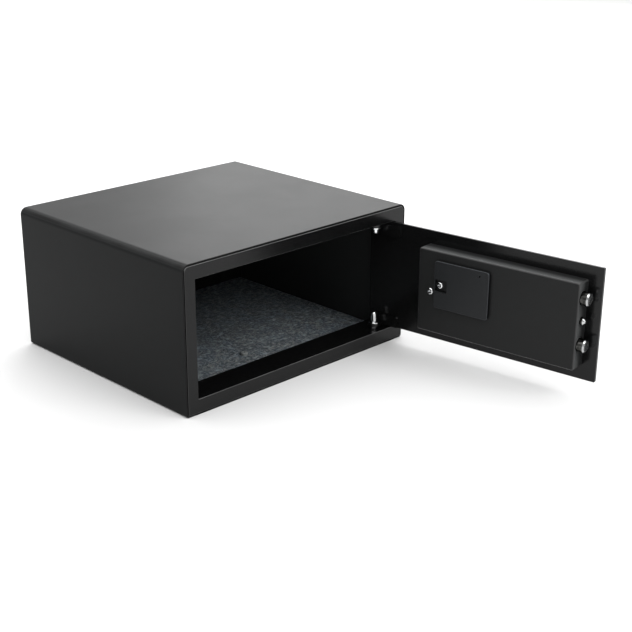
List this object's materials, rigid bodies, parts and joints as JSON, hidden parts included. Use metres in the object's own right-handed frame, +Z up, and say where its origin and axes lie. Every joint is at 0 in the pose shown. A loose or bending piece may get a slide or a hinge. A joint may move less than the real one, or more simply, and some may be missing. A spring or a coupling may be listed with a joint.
{
  "type": "in-room safe",
  "caption": "Low, wide in-room safe with its side-hinged door standing open, a pressed cover and round locking bolts on the door's inner face, and a felt-lined cavity.",
  "frame": {"origin": "centre of the cabinet's underside, on the surface that it stands on", "axes": "+Z up; the doorway faces -Y; +X is to the right as seen from the front, on the hinge side"},
  "size_m": [0.4246, 0.6676, 0.2],
  "materials": {
    "body_paint": "fine satin black powder coat",
    "frame_paint": "fine satin black powder coat",
    "door_paint": "fine satin black powder coat",
    "box_paint": "fine satin black powder coat",
    "chrome_parts": "bright plated",
    "bolt_parts": "ground, polished end",
    "plated_steel": "zinc plated",
    "brass_parts": "machined",
    "lid_plastic": "fine moulded texture",
    "pad_plastic": "fine moulded texture",
    "inner_plastic": "moulded",
    "key_plastic": "satin moulded",
    "window": "smoked, polished",
    "display_glass": "unlit display",
    "board": "solder mask",
    "cell_wrap": "printed sleeve, plain",
    "rubber_parts": "matt",
    "cap_plastic": "satin moulded",
    "felt": "needle felt"
  },
  "bodies": {
    "cabinet": {"body_wrap": "body_paint", "bottom_plate": "body_paint", "back_panel": "body_paint", "front_frame": "frame_paint", "sill_return": "frame_paint", "head_return": "frame_paint", "strike_plate": "frame_paint", "hinge_pin_lower": "chrome_parts", "hinge_pin_upper": "chrome_parts", "hinge_washers": "chrome_parts", "pin_collars": "chrome_parts", "carpet_mat": "felt", "anchor_caps": "cap_plastic"},
    "door": {"door_plate": "door_paint", "hinge_tab_lower": "door_paint", "hinge_tab_upper": "door_paint", "lock_box": "box_paint", "box_screw": "chrome_parts", "battery_cover": "lid_plastic", "battery_screw": "chrome_parts", "battery_tray": "inner_plastic", "batteries": "cell_wrap", "battery_springs": "plated_steel", "control_board": "board", "grommet": "rubber_parts", "ribbon_cable": "rubber_parts", "bolt_guide": "plated_steel", "gear_motor": "plated_steel", "motor_bracket": "inner_plastic", "plunger_sleeve": "plated_steel", "plunger_spring": "plated_steel", "override_cylinder": "chrome_parts", "cylinder_nut": "plated_steel", "keypad_housing": "pad_plastic", "display_window": "window", "display_module": "display_glass", "keypad_board": "board", "keypad_screws": "plated_steel"},
    "bolts": {"bolt_carriage": "plated_steel", "bolt_upper": "bolt_parts", "bolt_lower": "bolt_parts", "bolt_screws": "plated_steel"},
    "pinion": {"drive_pinion": "brass_parts"},
    "plunger": {"spring_plunger": "bolt_parts"},
    "override": {"override_plug": "brass_parts", "override_cam": "plated_steel"},
    "reset": {"reset_button": "key_plastic"},
    "key_0": {"key_0": "key_plastic"},
    "key_1": {"key_1": "key_plastic"},
    "key_2": {"key_2": "key_plastic"},
    "key_3": {"key_3": "key_plastic"},
    "key_4": {"key_4": "key_plastic"},
    "key_5": {"key_5": "key_plastic"},
    "key_6": {"key_6": "key_plastic"},
    "key_7": {"key_7": "key_plastic"},
    "key_8": {"key_8": "key_plastic"},
    "key_9": {"key_9": "key_plastic"},
    "key_clear": {"key_clear": "key_plastic"},
    "key_lock": {"key_lock": "key_plastic"}
  },
  "joints": [
    {"name": "door_hinge", "type": "hinge", "parent": "cabinet", "child": "door", "pos_m": [0.1608, -0.156, 0.1], "axis": [0, 0, 1], "range_deg": [-96.7, 0]},
    {"name": "bolt_throw", "type": "slide", "parent": "door", "child": "bolts", "axis": [0.1167, -0.9932, 0], "range_m": [0, 0.02]},
    {"name": "pinion_spin", "type": "hinge", "parent": "door", "child": "pinion", "pos_m": [0.19115, -0.40496, 0.088], "axis": [0, 0, 1], "range_deg": [-191.1, 0]},
    {"name": "plunger_push", "type": "slide", "parent": "door", "child": "plunger", "axis": [-0.1167, 0.9932, 0], "range_m": [0, 0.005], "stiffness_N_per_m": 400, "springref_m": -0.004, "deforming": ["plunger_spring"]},
    {"name": "override_turn", "type": "hinge", "parent": "door", "child": "override", "pos_m": [0.20114, -0.38365, 0.06], "axis": [-0.9932, -0.1167, 0], "range_deg": [0, 90]},
    {"name": "reset_push", "type": "slide", "parent": "door", "child": "reset", "axis": [0.9932, 0.1167, 0], "range_m": [0, 0.0008], "stiffness_N_per_m": 200, "springref_m": -0.0005},
    {"name": "key_0_push", "type": "slide", "parent": "door", "child": "key_0", "axis": [-0.9932, -0.1167, 0], "range_m": [0, 0.001], "stiffness_N_per_m": 300, "springref_m": -0.001},
    {"name": "key_1_push", "type": "slide", "parent": "door", "child": "key_1", "axis": [-0.9932, -0.1167, 0], "range_m": [0, 0.001], "stiffness_N_per_m": 300, "springref_m": -0.001},
    {"name": "key_2_push", "type": "slide", "parent": "door", "child": "key_2", "axis": [-0.9932, -0.1167, 0], "range_m": [0, 0.001], "stiffness_N_per_m": 300, "springref_m": -0.001},
    {"name": "key_3_push", "type": "slide", "parent": "door", "child": "key_3", "axis": [-0.9932, -0.1167, 0], "range_m": [0, 0.001], "stiffness_N_per_m": 300, "springref_m": -0.001},
    {"name": "key_4_push", "type": "slide", "parent": "door", "child": "key_4", "axis": [-0.9932, -0.1167, 0], "range_m": [0, 0.001], "stiffness_N_per_m": 300, "springref_m": -0.001},
    {"name": "key_5_push", "type": "slide", "parent": "door", "child": "key_5", "axis": [-0.9932, -0.1167, 0], "range_m": [0, 0.001], "stiffness_N_per_m": 300, "springref_m": -0.001},
    {"name": "key_6_push", "type": "slide", "parent": "door", "child": "key_6", "axis": [-0.9932, -0.1167, 0], "range_m": [0, 0.001], "stiffness_N_per_m": 300, "springref_m": -0.001},
    {"name": "key_7_push", "type": "slide", "parent": "door", "child": "key_7", "axis": [-0.9932, -0.1167, 0], "range_m": [0, 0.001], "stiffness_N_per_m": 300, "springref_m": -0.001},
    {"name": "key_8_push", "type": "slide", "parent": "door", "child": "key_8", "axis": [-0.9932, -0.1167, 0], "range_m": [0, 0.001], "stiffness_N_per_m": 300, "springref_m": -0.001},
    {"name": "key_9_push", "type": "slide", "parent": "door", "child": "key_9", "axis": [-0.9932, -0.1167, 0], "range_m": [0, 0.001], "stiffness_N_per_m": 300, "springref_m": -0.001},
    {"name": "key_clear_push", "type": "slide", "parent": "door", "child": "key_clear", "axis": [-0.9932, -0.1167, 0], "range_m": [0, 0.001], "stiffness_N_per_m": 300, "springref_m": -0.001},
    {"name": "key_lock_push", "type": "slide", "parent": "door", "child": "key_lock", "axis": [-0.9932, -0.1167, 0], "range_m": [0, 0.001], "stiffness_N_per_m": 300, "springref_m": -0.001}
  ],
  "couplings": [
    {"joint": "pinion_spin", "follows": "bolt_throw", "rad_per_m": -166.67}
  ]
}
